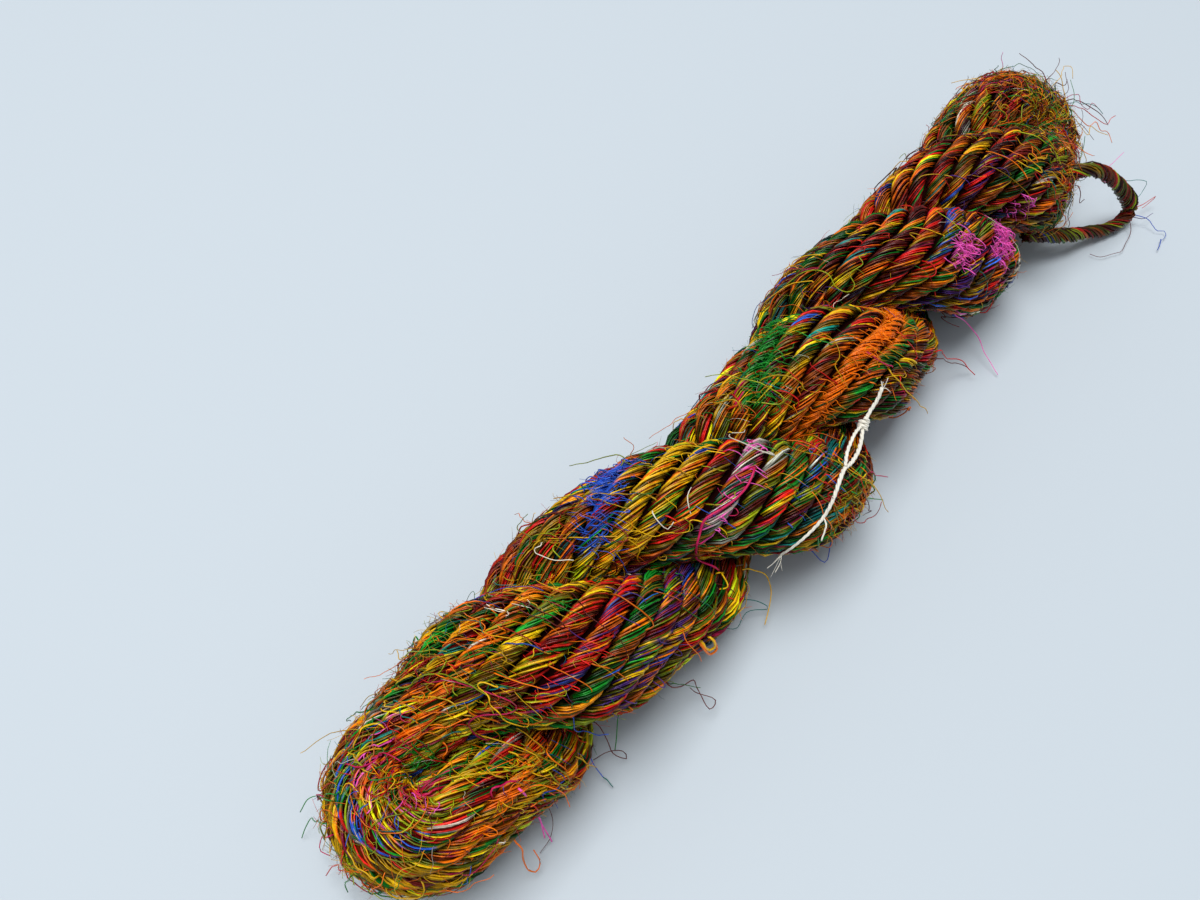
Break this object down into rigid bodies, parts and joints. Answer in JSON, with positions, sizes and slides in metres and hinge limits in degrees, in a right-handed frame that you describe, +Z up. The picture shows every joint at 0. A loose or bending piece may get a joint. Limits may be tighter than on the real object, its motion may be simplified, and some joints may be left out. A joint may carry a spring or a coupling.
{
  "type": "yarn skein",
  "caption": "Twisted skein of bulky multicoloured hand-spun yarn: a long wound loop doubled and plied into a lumpy rope with rounded fold ends, to knit from.",
  "frame": {"origin": "on the table, under the middle of the wound skein", "axes": "+X along the skein from the fold nearer the camera to the far one, +Y to its left, +Z up from the table"},
  "size_m": [0.2814, 0.0676, 0.0412],
  "materials": {
    "yarn": "rough",
    "tie_string": "rough"
  },
  "bodies": {
    "root": {"hank": "yarn", "turn_loop": "yarn", "tie_tail": "tie_string", "tie_tip": "tie_string", "tie_knot": "tie_string"}
  },
  "joints": []
}
